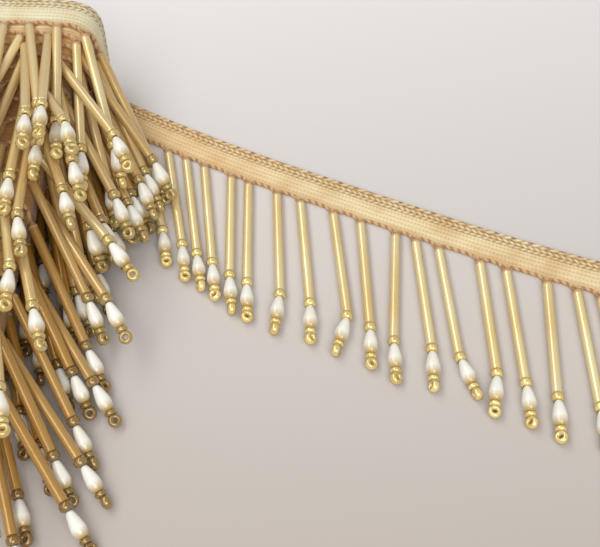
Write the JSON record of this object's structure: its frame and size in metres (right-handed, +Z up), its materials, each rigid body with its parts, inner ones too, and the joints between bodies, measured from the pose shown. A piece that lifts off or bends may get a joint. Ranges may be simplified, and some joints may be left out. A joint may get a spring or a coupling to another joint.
{
  "type": "roll of beaded lace trim",
  "caption": "Wound roll of woven gimp braid with a fringe of bugle-bead and pearl drops, lying on its side with its free end drawn out flat.",
  "frame": {"origin": "on the surface it lies on, at the middle of the whole footprint of roll and tail", "axes": "+X along the tail, away from the roll; +Z up; the roll's axis lies along Y and the fringe points to -Y"},
  "size_m": [0.1962, 0.1484, 0.0422],
  "materials": {
    "gimp_braid": "woven metallic yarn",
    "bead_fringe": "glossy glass beads"
  },
  "bodies": {
    "root": {"wound_braid": "gimp_braid", "fringe_outer_turns": "bead_fringe", "fringe_middle_turns": "bead_fringe", "fringe_inner_turns": "bead_fringe", "tail_braid": "gimp_braid", "tail_fringe": "bead_fringe"}
  },
  "joints": []
}
